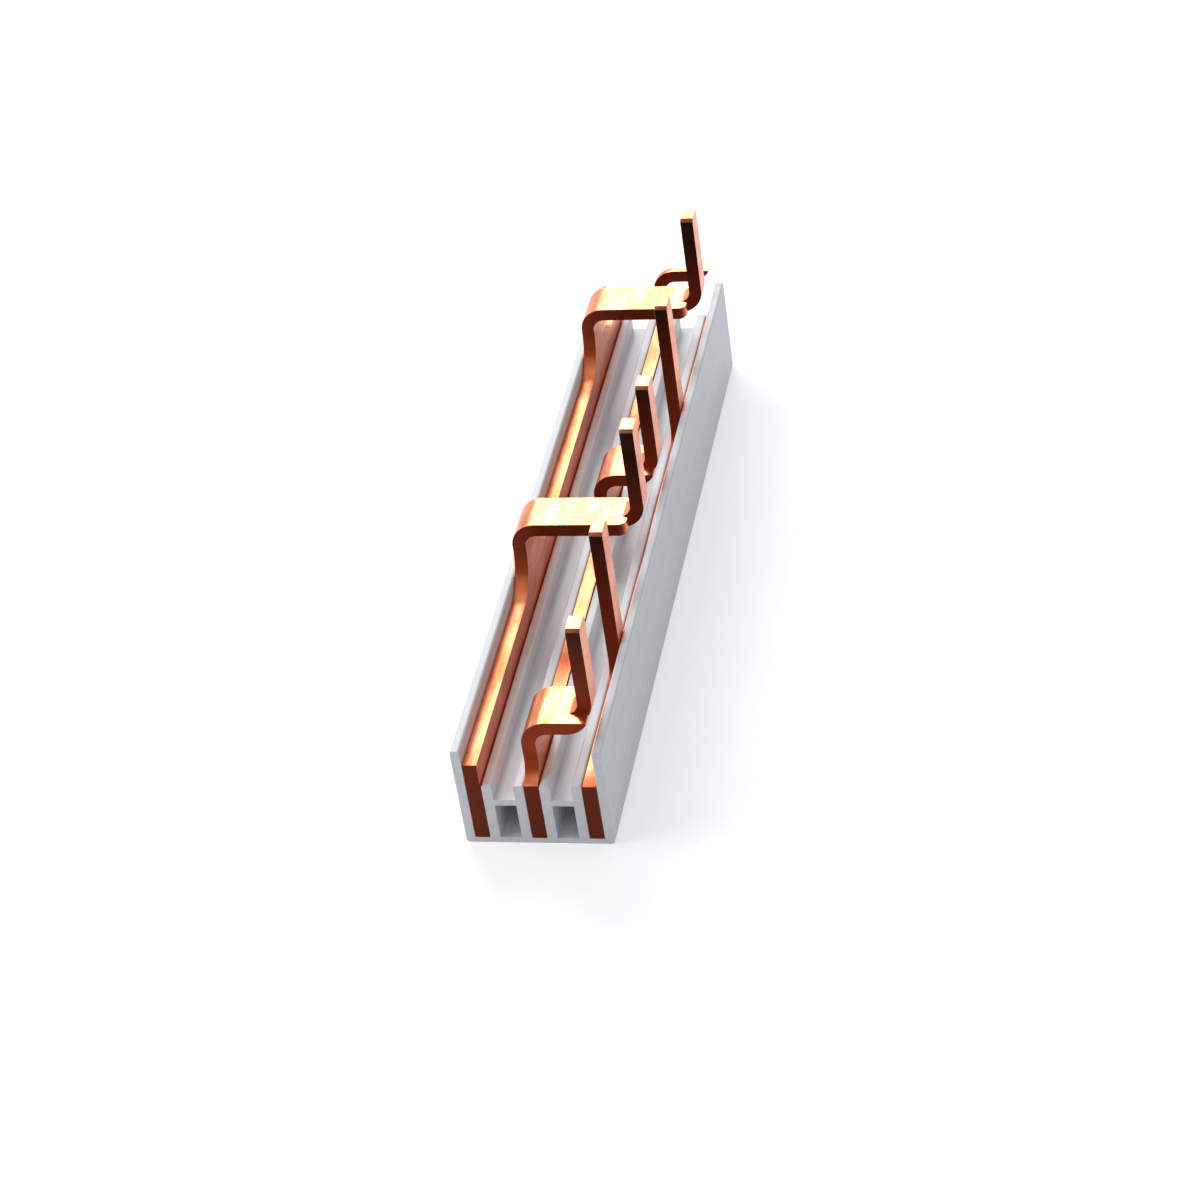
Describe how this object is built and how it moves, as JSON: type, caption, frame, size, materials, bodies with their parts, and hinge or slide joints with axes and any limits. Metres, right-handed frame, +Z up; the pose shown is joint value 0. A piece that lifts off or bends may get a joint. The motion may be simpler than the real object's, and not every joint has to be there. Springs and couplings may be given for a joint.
{
  "type": "comb busbar",
  "caption": "Cut length of open comb busbar: an insulating profile holds stamped copper combs whose pins stand in one row, one module apart.",
  "frame": {"origin": "middle of the profile's underside", "axes": "+Y along the busbar away from the end with the first pin, +X across it towards the row of pins, +Z up along the pins"},
  "size_m": [0.0193, 0.11, 0.0356],
  "materials": {
    "profile_plastic": "pale grey extruded plastic, satin",
    "copper_phase_1": "bare copper, slightly tarnished, sheared edges",
    "copper_phase_2": "bare copper, slightly tarnished, sheared edges",
    "copper_phase_3": "bare copper, slightly tarnished, sheared edges"
  },
  "bodies": {
    "root": {"insulating_profile": "profile_plastic", "phase_1_comb": "copper_phase_1", "phase_2_comb": "copper_phase_2", "phase_3_comb": "copper_phase_3"}
  },
  "joints": []
}
